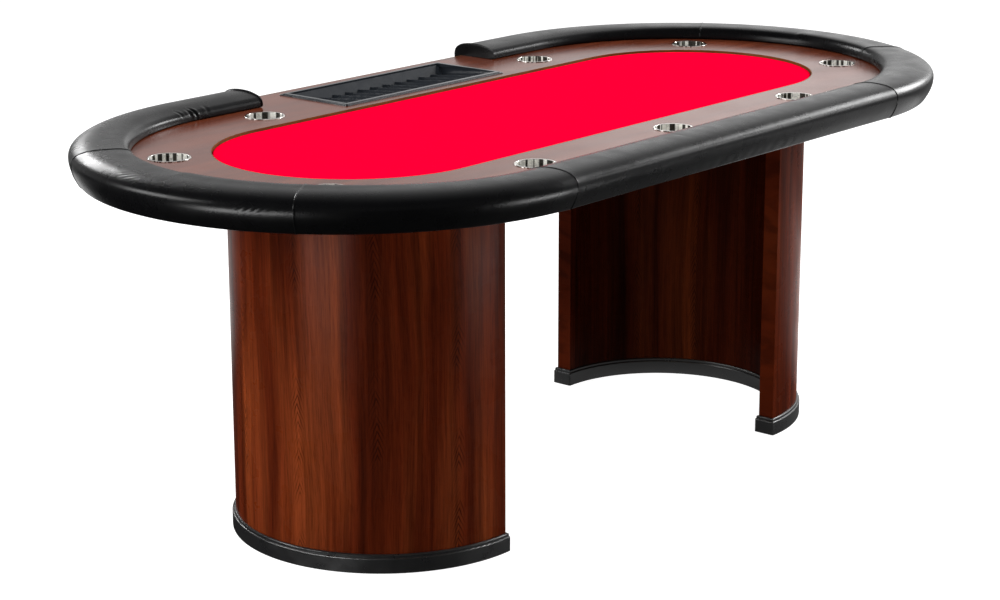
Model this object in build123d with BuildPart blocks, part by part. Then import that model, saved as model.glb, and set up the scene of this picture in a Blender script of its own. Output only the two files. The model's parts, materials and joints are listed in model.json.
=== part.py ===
"""Oval poker table: padded armrest rail, laminated racetrack with drop-in cup holders and a dealer's
chip tray, lift-out playing field, and two half-moon pedestals.

Millimetres. +X runs along the table, +Y points to the dealer's side, +Z is up, and the origin is on the floor
under the middle of the top. An inset is a distance inwards from the outermost outline of the armrest rail.
"""

import os
from math import cos, radians, sin, sqrt

from build123d import *

# ---------------------------------------------------------------- driving dimensions
LENGTH = 2133.6  # over the armrest rail, 84 in
WIDTH = 1066.8  # over the armrest rail, 42 in
END_RADIUS = WIDTH / 2
ARC_X = (LENGTH - WIDTH) / 2  # centres of the two round ends are at x = +-ARC_X

RACETRACK_TOP = 760.0  # just under 30 in above the floor
RACETRACK_T = 18.0
DECK_T = 22.0
DECK_TOP = RACETRACK_TOP - RACETRACK_T
DECK_BOTTOM = DECK_TOP - DECK_T
RAIL_TOP = 788.0  # 31 in above the floor
DECK_INSET = 22.0
PLAY_INSET = 264.0  # edge of the playing field

# armrest rail
CORE_INSETS = (22.0, 106.0)
CORE_T = 14.0
RAIL_INNER_INSET = 114.0
RAIL_LOW = DECK_BOTTOM - 1  # underside of the padding outside the deck
HEM_W = 3.0  # width of that underside
WIDEST_Z = RACETRACK_TOP + 1  # height at which the padding stands out furthest
SHOULDER_INSET, SHOULDER_DROP = 22.0, 2.5
CROWN_INSET = 56.0
LEDGE_INSET, LEDGE_DROP = 104.0, 4.5  # where the gently crowned top turns down to the inner wall
LEDGE_SLOPE = 0.3
WALL_DROP = 15.0  # the inner wall is upright from this far below the crown
GAP_HALF = 365.0  # the dealer's gap in the rail runs from x = -GAP_HALF to GAP_HALF
BAND_T = 2.0  # edge band in the gap
END_PAD_T = 8.0
SEAM_ANGLE = 32.0  # seams of the end panels, each side of the table's long axis
RAIL_BOLT_INSET = 64.0

# playing field
TRIM_T = 1.5
FIELD_GAP = 1.0
BOARD_T = 5.5
FOAM_T = 7.0
CLOTH_T = 1.0
CLOTH_SIDE_T = 0.8
CLOTH_SLACK = 0.2
CLOTH_LIFT = 0.5  # the cloth's lower edge above the deck
CLOTH_EDGE_R = 0.6

# cup holders
CUP_INSET = 183.4
CUP_R = 36.8
CUP_WALL = 0.8
CUP_DEPTH = 60.0
CUP_CORNER_R = 6.0
CUP_NECK = 5.0  # straight wall under the flange
CUP_FLANGE_R = 40.0
CUP_FLANGE_T = 1.5
CUP_HOLE_R = 37.8
CUP_END_ANGLE = 35.5
CUP_STRAIGHT_X = 426.0

# chip tray
TRAY_HALF = 249.0
TRAY_FRONT, TRAY_BACK = 292.0, 487.0
TRAY_LIP = 11.0  # flange that rests on the racetrack
TRAY_FLANGE_T = 2.5
TRAY_BEAD_T = 1.5
TRAY_BEAD_INSET = 5.0  # the raised bead starts this far inside the flange's edge
TRAY_CORNER_R = 4.0
TRAY_WALL = 3.0
TRAY_CLEARANCE = 1.5
TRAY_ROWS = 12
ROW_R = 20.5
RIDGE_DROP_BACK = 15.0  # the ridges are level with the racetrack in front and this much lower at the back
TRAY_BACK_SLOPE = 13.0  # run of the sloping back wall from the rim to the ridges

# pedestals
PED_X = 457.0  # centre of the half-moon
PANEL_R = 300.0
PANEL_T = 36.0
PANEL_OPEN = 3.5  # the panel runs this far past the half circle
SKIN_T = 5.0
JAMB_W = 18.0
GLIDE_T = 2.0
GLIDE_R = 12.0
PLINTH_BASE_H = 30.0
PLINTH_CAP_H = 6.0
PLINTH_TOP = GLIDE_T + PLINTH_BASE_H + PLINTH_CAP_H
PLINTH_OVERHANG = 7.0
PLINTH_STEP = 3.0
PLINTH_CORNER_R = 4.0
PLINTH_EDGE_R, PLINTH_CAP_EDGE_R = 2.5, 2.0
FORMER_T = 18.0
TOP_PLATE_T = 18.0
TOP_PLATE_GAP = 0.3

# under-frame
BATTEN_H = 32.0
BATTEN_W = 45.0
BATTEN_X, BATTEN_Y = 405.0, 190.0  # ends and middle lines of the long battens
BATTEN_CHAMFER = 2.0
PUSH_HOLE_R, PUSH_HOLE_X = 20.0, 250.0  # finger holes that push the playing field out

# fasteners
SCREW_INSET = 240.0  # of the screws that hold the racetrack
LEG_BOLT_R = 4.0
RAIL_BOLT_R = 3.0
SCREW_R = 2.2
SCREW_HEAD_R, SCREW_HEAD_T = 4.4, 2.6
SCREW_BITE = 13.0  # how far a screw goes into the piece that it holds
SCREW_SINK = 10.0  # depth of the plinth's counterbores
BOLT_HEAD_T, WASHER_T = 5.0, 1.6
HEX_R, WASHER_R = 1.75, 2.4  # hexagon's corners and flange, in shank radii
INSERT_R, INSERT_H = 6.0, 16.0
TEE_NUT_R, TEE_NUT_H = 5.0, 12.0
FIT = 0.05  # radial clearance of a fastener in its own hole
BOLT_CLEARANCE = 0.5  # radial clearance of a bolt through timber
BOLT_SHORT = 2.0  # a bolt ends this far below the top of its insert or nut


def stadium(inset):
    """The table's outline, moved in by inset, as a sketch in the current plane."""
    return SlotCenterToCenter(2 * ARC_X, 2 * (END_RADIUS - inset))


def plate(name, inset, bottom, thickness, hole_inset=None):
    """A flat oval plate, or a ring if it has a hole_inset."""
    with BuildPart() as made:
        with BuildSketch(Plane.XY.offset(bottom)):
            stadium(inset)
            if hole_inset:
                with Locations((0, 0)):
                    SlotCenterToCenter(2 * ARC_X, 2 * (END_RADIUS - hole_inset), mode=Mode.SUBTRACT)
        extrude(amount=thickness)
    made.part.label = name
    return made.part


def cut_rounds(solid, places, radius, bottom, height):
    """solid with vertical round holes at places."""
    with BuildPart() as made:
        add(solid)
        with BuildSketch(Plane.XY.offset(bottom)):
            with Locations(*places):
                Circle(radius)
        extrude(amount=height, mode=Mode.SUBTRACT)
    return made.part


def save(part, name):
    part.label = name
    export_step(part, f"parts/{name}.step")


def end_point(side, radius, degrees):
    """A point on a round end: side is 1 or -1, degrees is measured from the long axis towards the dealer."""
    return side * (ARC_X + radius * cos(radians(degrees))), radius * sin(radians(degrees))


# ---------------------------------------------------------------- places that several pieces share
CUP_TRACK = END_RADIUS - CUP_INSET
CUPS = [
    (-CUP_STRAIGHT_X, CUP_TRACK),
    end_point(-1, CUP_TRACK, CUP_END_ANGLE),
    end_point(-1, CUP_TRACK, -CUP_END_ANGLE),
    (-CUP_STRAIGHT_X, -CUP_TRACK),
    (0, -CUP_TRACK),
    (CUP_STRAIGHT_X, -CUP_TRACK),
    end_point(1, CUP_TRACK, -CUP_END_ANGLE),
    end_point(1, CUP_TRACK, CUP_END_ANGLE),
    (CUP_STRAIGHT_X, CUP_TRACK),
]
RAIL_BOLT_TRACK = END_RADIUS - RAIL_BOLT_INSET
RAIL_BOLTS = [(x, -RAIL_BOLT_TRACK) for x in (-400, -130, 130, 400)]
for end in (-1, 1):
    RAIL_BOLTS += [end_point(end, RAIL_BOLT_TRACK, a) for a in (-70, -42, -14, 14, 42, 70)]
    RAIL_BOLTS += [(end * 440, RAIL_BOLT_TRACK)]
SCREW_TRACK = END_RADIUS - SCREW_INSET
TRACK_SCREWS = [(x, -SCREW_TRACK) for x in (-300, -100, 100, 300)]
for end in (-1, 1):
    TRACK_SCREWS += [end_point(end, SCREW_TRACK, a) for a in (-60, -12, 12, 60)]
    TRACK_SCREWS += [(end * 350, SCREW_TRACK)]
LEG_BOLTS = [(-PED_X - 190, 60), (-PED_X - 190, -60), (-PED_X - 40, 190), (-PED_X - 40, -190)]
SHORT_BATTEN_X = BATTEN_X - BATTEN_W / 2
BATTEN_SCREWS = [(x, y) for x in (-330, -110, 110, 330) for y in (-BATTEN_Y, BATTEN_Y)]
BATTEN_SCREWS += [(x, y) for x in (-SHORT_BATTEN_X, SHORT_BATTEN_X) for y in (-110, 110)]
TRAY_MID = (TRAY_FRONT + TRAY_BACK) / 2
TRAY_DEEP = TRAY_BACK - TRAY_FRONT
TRAY_HOLE = (2 * (TRAY_HALF - TRAY_LIP + TRAY_CLEARANCE), TRAY_DEEP - 2 * (TRAY_LIP - TRAY_CLEARANCE))


def pedestal_place(radius, degrees):
    """A point of the left pedestal, degrees from the direction -X."""
    a = radians(180 + degrees)
    return -PED_X + radius * cos(a), radius * sin(a)


PANEL_MID = PANEL_R - PANEL_T / 2
PLINTH_SCREWS = [pedestal_place(PANEL_MID, a) for a in (-65, -22, 22, 65)]
GLIDES = [pedestal_place(PANEL_MID, a) for a in (-86, -43, 0, 43, 86)]


# ---------------------------------------------------------------- top
def cut_tray_hole(solid, bottom, height):
    with BuildPart() as made:
        add(solid)
        with BuildSketch(Plane.XY.offset(bottom)):
            with Locations((0, TRAY_MID)):
                RectangleRounded(*TRAY_HOLE, TRAY_CORNER_R - 1)
        extrude(amount=height, mode=Mode.SUBTRACT)
    return made.part


def make_deck():
    deck = plate("base_deck", DECK_INSET, DECK_BOTTOM, DECK_T)
    deck = cut_tray_hole(deck, DECK_BOTTOM, DECK_T)
    deck = cut_rounds(deck, CUPS, CUP_HOLE_R, DECK_BOTTOM, DECK_T)
    deck = cut_rounds(deck, RAIL_BOLTS, RAIL_BOLT_R + BOLT_CLEARANCE, DECK_BOTTOM, DECK_T)
    deck = cut_rounds(deck, TRACK_SCREWS, SCREW_R + FIT, DECK_BOTTOM, DECK_T)
    deck = cut_rounds(deck, BATTEN_SCREWS, SCREW_R + FIT, DECK_BOTTOM, SCREW_BITE)
    deck = cut_rounds(deck, [(-PUSH_HOLE_X, 0), (PUSH_HOLE_X, 0)], PUSH_HOLE_R, DECK_BOTTOM, DECK_T)
    both_sides = LEG_BOLTS + [(-x, y) for x, y in LEG_BOLTS]
    return cut_rounds(deck, both_sides, INSERT_R, DECK_BOTTOM, INSERT_H)


def make_racetrack():
    ring = plate("racetrack", DECK_INSET, DECK_TOP, RACETRACK_T, PLAY_INSET - TRIM_T)
    ring = cut_tray_hole(ring, DECK_TOP, RACETRACK_T)
    ring = cut_rounds(ring, CUPS, CUP_HOLE_R, DECK_TOP, RACETRACK_T)
    ring = cut_rounds(ring, RAIL_BOLTS, RAIL_BOLT_R + BOLT_CLEARANCE, DECK_TOP, RACETRACK_T)
    return cut_rounds(ring, TRACK_SCREWS, SCREW_R + FIT, DECK_TOP, SCREW_BITE)


def make_dealer_edge():
    """Edge band that covers the deck and the racetrack in the dealer's gap."""
    with BuildPart() as band:
        with Locations((0, END_RADIUS - DECK_INSET, DECK_BOTTOM)):
            Box(2 * GAP_HALF, BAND_T, RACETRACK_TOP - DECK_BOTTOM, align=(Align.CENTER, Align.MIN, Align.MIN))
    return band.part


def make_playing_field():
    edge = PLAY_INSET + FIELD_GAP
    inner = edge + CLOTH_SIDE_T
    board = plate("playing_board", inner + CLOTH_SLACK, DECK_TOP, BOARD_T)
    foam = plate("playing_foam", inner + CLOTH_SLACK, DECK_TOP + BOARD_T, FOAM_T)
    low = DECK_TOP + CLOTH_LIFT
    under = BOARD_T + FOAM_T - CLOTH_LIFT
    with BuildPart() as cloth:
        add(plate("cloth", edge, low, under + CLOTH_T))
        add(plate("core", inner, low, under), mode=Mode.SUBTRACT)
        fillet(cloth.faces().sort_by(Axis.Z)[-1].outer_wire().edges(), CLOTH_EDGE_R)
    return {"playing_board": board, "playing_foam": foam, "playing_cloth": cloth.part}


# ---------------------------------------------------------------- armrest rail
def rail_section(filled):
    """The padding's cross-section, with x as the distance from the arc's centre and y as the height.
    It is hollow where the core sits, unless it is filled."""
    outer, inner = END_RADIUS - CORE_INSETS[0], END_RADIUS - CORE_INSETS[1]
    face = END_RADIUS - RAIL_INNER_INSET
    widest = (END_RADIUS, WIDEST_Z)
    shoulder = (END_RADIUS - SHOULDER_INSET, RAIL_TOP - SHOULDER_DROP)
    crown = (END_RADIUS - CROWN_INSET, RAIL_TOP)
    ledge = (END_RADIUS - LEDGE_INSET, RAIL_TOP - LEDGE_DROP)
    falling = (-1, -LEDGE_SLOPE)
    core_top = RACETRACK_TOP + CORE_T
    with BuildSketch(mode=Mode.PRIVATE) as section:
        with BuildLine():
            hem = Line((outer, RAIL_LOW), (outer + HEM_W, RAIL_LOW))
            Spline(hem @ 1, widest, tangents=((1, 0.6), (0, 1)))
            Spline(widest, shoulder, crown, tangents=((0, 1), (-1, 0)))
            Spline(crown, ledge, tangents=((-1, 0), falling))
            edge = Spline(ledge, (face, RAIL_TOP - WALL_DROP), tangents=(falling, (0, -1)))
            wall = Line(edge @ 1, (face, RACETRACK_TOP))
            if filled:
                Polyline(wall @ 1, (outer, RACETRACK_TOP), hem @ 0)
            else:
                Polyline(wall @ 1, (inner, RACETRACK_TOP), (inner, core_top), (outer, core_top), hem @ 0)
        make_face()
    return section.sketch


def end_plane(side, degrees):
    """Upright plane through a round end's axis; its x runs outwards at degrees from the long axis."""
    a = radians(degrees)
    out = (side * cos(a), sin(a), 0)
    return Plane(origin=(side * ARC_X, 0, 0), x_dir=out, z_dir=(out[1], -out[0], 0))


def rail_arc(side, start, stop):
    """Padding round one end, from start to stop degrees towards the dealer."""
    with BuildPart() as arc:
        with BuildSketch(end_plane(side, start)):
            add(rail_section(False))
        axis = Axis((side * ARC_X, 0, 0), (0, 0, side))
        revolve(axis=axis, revolution_arc=stop - start)
    return arc.part


def rail_run(y_side, start, stop, filled=False):
    """Straight padding from x = start to x = stop, with start the larger of the two."""
    plane = Plane(origin=(start, 0, 0), x_dir=(0, y_side, 0), z_dir=(y_side, 0, 0))
    with BuildPart() as run:
        with BuildSketch(plane):
            add(rail_section(filled))
        extrude(amount=-y_side * (start - stop))
    return run.part


def make_rail_panels():
    """The upholstered panels between the seams, named from the dealer's gap round the table."""
    panels = {"rail_panel_front": rail_run(-1, ARC_X, -ARC_X)}
    for side, word in ((-1, "left"), (1, "right")):
        panels[f"rail_panel_{word}_end"] = rail_arc(side, -SEAM_ANGLE, SEAM_ANGLE)
        panels[f"rail_panel_front_{word}"] = rail_arc(side, -90, -SEAM_ANGLE)
        near, mid, far = GAP_HALF, GAP_HALF + END_PAD_T, ARC_X
        with BuildPart() as back:
            add(rail_arc(side, SEAM_ANGLE, 90))
            add(rail_run(1, max(side * mid, side * far), min(side * mid, side * far)))
            add(rail_run(1, max(side * near, side * mid), min(side * near, side * mid), filled=True))
        panels[f"rail_panel_back_{word}"] = back.part
    return panels


def make_rail_core():
    """Plywood ring under the padding, open at the dealer's gap, with a hole for each tee nut."""
    ring = plate("rail_core", CORE_INSETS[0], RACETRACK_TOP, CORE_T, CORE_INSETS[1])
    with BuildPart() as core:
        add(ring)
        with Locations((0, END_RADIUS, RACETRACK_TOP)):
            Box(2 * (GAP_HALF + END_PAD_T), 3 * CORE_INSETS[1], 3 * CORE_T, mode=Mode.SUBTRACT)
    return cut_rounds(core.part, RAIL_BOLTS, TEE_NUT_R, RACETRACK_TOP, TEE_NUT_H)


# ---------------------------------------------------------------- fasteners
def rounds(places, radius, bottom, height, bore=None):
    """Upright cylinders, or tubes, at places."""
    with BuildPart() as made:
        with BuildSketch(Plane.XY.offset(bottom)):
            with Locations(*places):
                Circle(radius)
                if bore:
                    Circle(bore, mode=Mode.SUBTRACT)
        extrude(amount=height)
    return made.part


def bolts(places, radius, under_head, top):
    """Flanged hex bolts that point upwards: hexagon head, flange, shank."""
    with BuildPart() as made:
        with BuildSketch(Plane.XY.offset(under_head - WASHER_T - BOLT_HEAD_T)):
            with Locations(*places):
                RegularPolygon(HEX_R * radius, 6)
        extrude(amount=BOLT_HEAD_T)
        add(rounds(places, WASHER_R * radius, under_head - WASHER_T, WASHER_T))
        add(rounds(places, radius, under_head - WASHER_T, top - under_head + WASHER_T))
    return made.part


def screws(places, under_head, top):
    """Pan-head screws that point upwards."""
    head = under_head - SCREW_HEAD_T
    brow = (0.7 * SCREW_HEAD_R, under_head - 0.75 * SCREW_HEAD_T)
    with BuildPart() as made:
        for x, y in places:
            with BuildSketch(Plane((x, y, 0), x_dir=(1, 0, 0), z_dir=(0, -1, 0))):
                with BuildLine():
                    ThreePointArc((0, head), brow, (SCREW_HEAD_R, under_head))
                    Polyline(
                        (SCREW_HEAD_R, under_head),
                        (SCREW_R, under_head),
                        (SCREW_R, top - 2 * SCREW_R),
                        (0, top),
                        (0, head),
                    )
                make_face()
            revolve(axis=Axis((x, y, 0), (0, 0, 1)))
    return made.part


# ---------------------------------------------------------------- cup holders
def make_cup(place):
    """Deep-drawn drop-in cup with a flange that rests on the racetrack."""
    bottom, top = RACETRACK_TOP - CUP_DEPTH, RACETRACK_TOP + CUP_FLANGE_T
    neck = RACETRACK_TOP - CUP_NECK
    inner, floor = CUP_R - CUP_WALL, bottom + CUP_WALL
    x, y = place
    with BuildPart() as cup:
        with BuildSketch(Plane((x, y, 0), x_dir=(1, 0, 0), z_dir=(0, -1, 0))):
            with BuildLine():
                FilletPolyline((0, bottom), (CUP_R, bottom), (CUP_R, neck), radius=CUP_CORNER_R)
                Polyline(
                    (CUP_R, neck),
                    (CUP_R, RACETRACK_TOP),
                    (CUP_FLANGE_R, RACETRACK_TOP),
                    (CUP_FLANGE_R, top),
                    (inner, top),
                    (inner, neck),
                )
                FilletPolyline((inner, neck), (inner, floor), (0, floor), radius=CUP_CORNER_R - CUP_WALL)
                Line((0, floor), (0, bottom))
            make_face()
        revolve(axis=Axis((x, y, 0), (0, 0, 1)))
        rim = cup.faces().sort_by(Axis.Z)[-1].edges()
        fillet(rim, CUP_FLANGE_T / 2 - 0.1)
    return cup.part


# ---------------------------------------------------------------- chip tray
def make_tray():
    """Moulded tray: stepped flange, side walls, and half-round rows that run down towards the dealer."""
    top = RACETRACK_TOP + TRAY_FLANGE_T
    bead_top = top + TRAY_BEAD_T
    front, back = TRAY_FRONT + TRAY_LIP, TRAY_BACK - TRAY_LIP
    half = TRAY_HALF - TRAY_LIP
    in_front, in_back = front + TRAY_WALL, back - TRAY_WALL
    pitch = 2 * (half - TRAY_WALL) / TRAY_ROWS
    ridge_back_y = in_back - TRAY_BACK_SLOPE
    ridge_back_z = RACETRACK_TOP - RIDGE_DROP_BACK
    slope = RIDGE_DROP_BACK / (ridge_back_y - in_front)
    axis_rise = sqrt(ROW_R**2 - (pitch / 2) ** 2)  # row axis above the ridges
    row_depth = ROW_R - axis_rise
    back_run = TRAY_BACK_SLOPE / RIDGE_DROP_BACK
    foot_y = ridge_back_y - row_depth * back_run
    foot_z = ridge_back_z - row_depth + slope * (ridge_back_y - foot_y)
    side = Plane(origin=(-half, 0, 0), x_dir=(0, 1, 0), z_dir=(1, 0, 0))
    with BuildPart() as rows:  # what the rows cut out of the floor
        for i in range(TRAY_ROWS):
            x = (i - (TRAY_ROWS - 1) / 2) * pitch
            start = (x, in_front, RACETRACK_TOP + axis_rise)
            with BuildSketch(Plane(origin=start, x_dir=(1, 0, 0), z_dir=(0, 1, -slope))):
                Circle(ROW_R)
            extrude(amount=TRAY_DEEP, both=True)
        with BuildSketch(side):
            with BuildLine():
                Polyline(
                    (in_front, bead_top),
                    (in_back, bead_top),
                    (in_back, RACETRACK_TOP),
                    (foot_y, foot_z),
                    (foot_y - TRAY_WALL * back_run, foot_z - TRAY_WALL),
                    (in_front, foot_z - TRAY_WALL),
                    close=True,
                )
            make_face()
        extrude(amount=2 * half, mode=Mode.INTERSECT)
    with BuildPart() as tray:
        with BuildSketch(side):
            with BuildLine():
                Polyline(
                    (front, RACETRACK_TOP),
                    (front, RACETRACK_TOP - row_depth - TRAY_WALL),
                    (foot_y, foot_z - TRAY_WALL),
                    (foot_y + TRAY_WALL, foot_z - TRAY_WALL),
                    (back, RACETRACK_TOP),
                    close=True,
                )
            make_face()
        extrude(amount=2 * half)
        with BuildSketch(Plane.XY.offset(RACETRACK_TOP)):
            with Locations((0, TRAY_MID)):
                RectangleRounded(2 * TRAY_HALF, TRAY_DEEP, TRAY_CORNER_R)
        extrude(amount=TRAY_FLANGE_T)
        fillet(tray.edges().group_by(Axis.Z)[-1], 1.0)
        with BuildSketch(Plane.XY.offset(top)):
            with Locations((0, TRAY_MID)):
                bead = (2 * (TRAY_HALF - TRAY_BEAD_INSET), TRAY_DEEP - 2 * TRAY_BEAD_INSET)
                RectangleRounded(*bead, TRAY_CORNER_R - 1)
        extrude(amount=TRAY_BEAD_T)
        fillet(tray.edges().group_by(Axis.Z)[-1], 0.7)
        with BuildSketch(Plane(side.origin + (TRAY_WALL, 0, 0), x_dir=(0, 1, 0), z_dir=(1, 0, 0))):
            with BuildLine():
                Polyline(
                    (in_front, bead_top),
                    (in_back, bead_top),
                    (in_back, RACETRACK_TOP),
                    (ridge_back_y, ridge_back_z),
                    (in_front, RACETRACK_TOP),
                    close=True,
                )
            make_face()
        extrude(amount=2 * (half - TRAY_WALL), mode=Mode.SUBTRACT)
        add(rows.part, mode=Mode.SUBTRACT)
    return tray.part


# ------------------------------------------------------- pedestals: the left one, mirrored for the right
def half_moon(outer, inner, opening, bottom, height):
    """Half ring, convex towards -X, that ends at the upright plane opening past its centre."""
    with BuildPart() as ring:
        with BuildSketch(Plane.XY.offset(bottom)):
            with Locations((-PED_X, 0)):
                Circle(outer)
                if inner:
                    Circle(inner, mode=Mode.SUBTRACT)
            with Locations((-PED_X + opening, 0)):
                Rectangle(4 * outer, 4 * outer, align=(Align.MIN, Align.CENTER), mode=Mode.SUBTRACT)
        extrude(amount=height)
    return ring.part


def make_plinth():
    outer, inner = PANEL_R + PLINTH_OVERHANG, PANEL_R - PANEL_T - PLINTH_OVERHANG + 1
    opening = PANEL_OPEN + PLINTH_OVERHANG + 1
    with BuildPart() as plinth:
        add(half_moon(outer, inner, opening, GLIDE_T, PLINTH_BASE_H))
        upright = plinth.edges().filter_by(Axis.Z).sort_by(Axis.X)[-4:]
        fillet(upright, PLINTH_CORNER_R)
        fillet(plinth.faces().sort_by(Axis.Z)[-1].edges(), PLINTH_EDGE_R)
        step = PLINTH_STEP
        add(half_moon(outer - step, inner + step, opening - step, GLIDE_T + PLINTH_BASE_H, PLINTH_CAP_H))
        fillet(plinth.faces().sort_by(Axis.Z)[-1].edges(), PLINTH_CAP_EDGE_R)
    solid = cut_rounds(plinth.part, PLINTH_SCREWS, SCREW_HEAD_R + BOLT_CLEARANCE, GLIDE_T, SCREW_SINK)
    return cut_rounds(solid, PLINTH_SCREWS, SCREW_R + FIT, GLIDE_T + SCREW_SINK, PLINTH_TOP)


def make_pedestal():
    inner = PANEL_R - PANEL_T
    height = DECK_BOTTOM - PLINTH_TOP
    skin_end = PANEL_OPEN - JAMB_W
    made = {
        "outer_skin": half_moon(PANEL_R, PANEL_R - SKIN_T, skin_end, PLINTH_TOP, height),
        "inner_skin": half_moon(inner + SKIN_T, inner, skin_end, PLINTH_TOP, height),
        "plinth": make_plinth(),
    }
    for y_side, word in ((-1, "front"), (1, "rear")):
        with BuildPart() as jamb:
            add(half_moon(PANEL_R, inner, PANEL_OPEN, PLINTH_TOP, height))
            beyond_skins = (Align.MAX, Align.CENTER, Align.MIN)
            with Locations((-PED_X + skin_end, 0, PLINTH_TOP)):
                Box(2 * PANEL_R, 3 * PANEL_R, height, align=beyond_skins, mode=Mode.SUBTRACT)
            other_half = (Align.CENTER, Align.MIN if y_side < 0 else Align.MAX, Align.MIN)
            with Locations((-PED_X, 0, PLINTH_TOP)):
                Box(3 * PANEL_R, 2 * PANEL_R, height, align=other_half, mode=Mode.SUBTRACT)
        made[f"{word}_jamb"] = jamb.part
    levels = (PLINTH_TOP, PLINTH_TOP + (height - FORMER_T) / 2, DECK_BOTTOM - FORMER_T)
    with BuildPart() as formers:
        for z in levels:
            add(half_moon(PANEL_R - SKIN_T, inner + SKIN_T, skin_end, z, FORMER_T))
    made["formers"] = cut_rounds(formers.part, PLINTH_SCREWS, SCREW_R + FIT, PLINTH_TOP, SCREW_BITE)
    top_plate = half_moon(inner - TOP_PLATE_GAP, None, skin_end, DECK_BOTTOM - TOP_PLATE_T, TOP_PLATE_T)
    hole = LEG_BOLT_R + BOLT_CLEARANCE
    made["top_plate"] = cut_rounds(top_plate, LEG_BOLTS, hole, DECK_BOTTOM - TOP_PLATE_T, TOP_PLATE_T)
    bolt_top = DECK_BOTTOM + INSERT_H - BOLT_SHORT
    made["leg_bolts"] = bolts(LEG_BOLTS, LEG_BOLT_R - FIT, DECK_BOTTOM - TOP_PLATE_T, bolt_top)
    made["threaded_inserts"] = rounds(LEG_BOLTS, INSERT_R, DECK_BOTTOM, INSERT_H, LEG_BOLT_R)
    made["plinth_screws"] = screws(PLINTH_SCREWS, GLIDE_T + SCREW_SINK, PLINTH_TOP + SCREW_BITE)
    made["floor_glides"] = rounds(GLIDES, GLIDE_R, 0, GLIDE_T)
    return made


# ---------------------------------------------------------------- under-frame
def make_battens():
    """Two long and two short battens screwed up into the deck, between the pedestals."""
    made = {}
    for word, x, y, size in (
        ("front", 0, -BATTEN_Y, (2 * BATTEN_X, BATTEN_W)),
        ("rear", 0, BATTEN_Y, (2 * BATTEN_X, BATTEN_W)),
        ("left", -SHORT_BATTEN_X, 0, (BATTEN_W, 2 * BATTEN_Y - BATTEN_W)),
        ("right", SHORT_BATTEN_X, 0, (BATTEN_W, 2 * BATTEN_Y - BATTEN_W)),
    ):
        with BuildPart() as batten:
            with Locations((x, y, DECK_BOTTOM - BATTEN_H)):
                Box(*size, BATTEN_H, align=(Align.CENTER, Align.CENTER, Align.MIN))
            chamfer(batten.faces().sort_by(Axis.Z)[0].edges(), BATTEN_CHAMFER)
        own = [(u, v) for u, v in BATTEN_SCREWS if abs(u - x) < size[0] / 2 and abs(v - y) < size[1] / 2]
        made[f"batten_{word}"] = cut_rounds(batten.part, own, SCREW_R + FIT, DECK_BOTTOM - BATTEN_H, BATTEN_H)
    return made


# ---------------------------------------------------------------- write every piece
os.makedirs("parts", exist_ok=True)

pieces = {
    "base_deck": make_deck(),
    "racetrack": make_racetrack(),
    "playing_edge_trim": plate("trim", PLAY_INSET - TRIM_T, DECK_TOP, RACETRACK_T, PLAY_INSET),
    "dealer_edge_trim": make_dealer_edge(),
    "rail_core": make_rail_core(),
    "rail_bolts": bolts(RAIL_BOLTS, RAIL_BOLT_R - FIT, DECK_BOTTOM, RACETRACK_TOP + TEE_NUT_H - BOLT_SHORT),
    "rail_tee_nuts": rounds(RAIL_BOLTS, TEE_NUT_R, RACETRACK_TOP, TEE_NUT_H, RAIL_BOLT_R),
    "racetrack_screws": screws(TRACK_SCREWS, DECK_BOTTOM, DECK_TOP + SCREW_BITE),
    "batten_screws": screws(BATTEN_SCREWS, DECK_BOTTOM - BATTEN_H, DECK_BOTTOM + SCREW_BITE),
    "chip_tray": make_tray(),
}
pieces.update(make_playing_field())
pieces.update(make_rail_panels())
pieces.update(make_battens())
for number, place in enumerate(CUPS, 1):
    pieces[f"cup_holder_{number}"] = make_cup(place)
for word, solid in make_pedestal().items():
    pieces[f"left_{word}"] = solid
    pieces[f"right_{word}"] = mirror(solid, about=Plane.YZ)

for name, solid in pieces.items():
    save(solid, name)
print(len(pieces), "nodes")
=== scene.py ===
"""Looks for the oval poker table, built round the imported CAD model. Metres, in the model's own frame:
+X along the table, +Y towards the dealer's side, +Z up. An inset is measured inwards from the outermost
outline."""

import json
import math

import bmesh
import bpy
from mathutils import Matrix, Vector


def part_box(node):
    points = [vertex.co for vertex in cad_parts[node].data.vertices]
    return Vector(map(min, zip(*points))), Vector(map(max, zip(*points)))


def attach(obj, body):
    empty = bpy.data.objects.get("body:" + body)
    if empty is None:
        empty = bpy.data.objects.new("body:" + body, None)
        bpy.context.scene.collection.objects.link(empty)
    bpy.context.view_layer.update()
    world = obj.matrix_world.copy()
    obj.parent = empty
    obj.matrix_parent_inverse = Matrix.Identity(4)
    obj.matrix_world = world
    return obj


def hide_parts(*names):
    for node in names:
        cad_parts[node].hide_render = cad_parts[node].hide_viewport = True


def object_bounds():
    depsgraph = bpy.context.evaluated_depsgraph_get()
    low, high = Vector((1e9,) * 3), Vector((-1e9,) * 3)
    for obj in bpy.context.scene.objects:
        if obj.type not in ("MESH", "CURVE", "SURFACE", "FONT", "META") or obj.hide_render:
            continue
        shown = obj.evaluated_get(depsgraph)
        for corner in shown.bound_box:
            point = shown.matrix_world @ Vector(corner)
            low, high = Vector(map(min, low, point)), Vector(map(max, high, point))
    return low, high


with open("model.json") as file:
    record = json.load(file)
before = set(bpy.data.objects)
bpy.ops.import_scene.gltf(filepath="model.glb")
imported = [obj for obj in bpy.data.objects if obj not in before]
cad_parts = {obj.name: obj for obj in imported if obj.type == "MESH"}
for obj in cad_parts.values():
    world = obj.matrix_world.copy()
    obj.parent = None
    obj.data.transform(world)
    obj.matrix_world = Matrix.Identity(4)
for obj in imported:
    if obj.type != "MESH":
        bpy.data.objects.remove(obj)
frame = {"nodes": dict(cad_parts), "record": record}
cad_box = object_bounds()
MM = 0.001

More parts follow.
